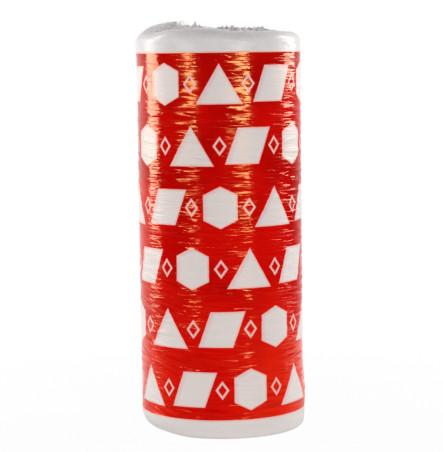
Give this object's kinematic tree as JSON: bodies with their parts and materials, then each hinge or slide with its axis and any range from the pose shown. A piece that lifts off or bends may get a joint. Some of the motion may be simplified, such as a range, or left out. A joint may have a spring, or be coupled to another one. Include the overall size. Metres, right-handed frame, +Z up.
{
  "type": "insulation roll",
  "caption": "Roll of mineral-wool insulation mat wound on itself, in a printed plastic wrapping film gathered over both ends, standing on one end.",
  "frame": {"origin": "middle of the face that the roll stands on", "axes": "+Z up along the roll's axis, -Y the front seen in the picture, +X to the right of it"},
  "size_m": [0.411, 0.4108, 1.014],
  "materials": {
    "mineral_wool": "matt, fibrous",
    "printed_film": "glossy thin film, finely wrinkled, red print with white shapes and white margins"
  },
  "bodies": {
    "root": {"wool_roll": "mineral_wool", "wrapper_film": "printed_film"}
  },
  "joints": []
}
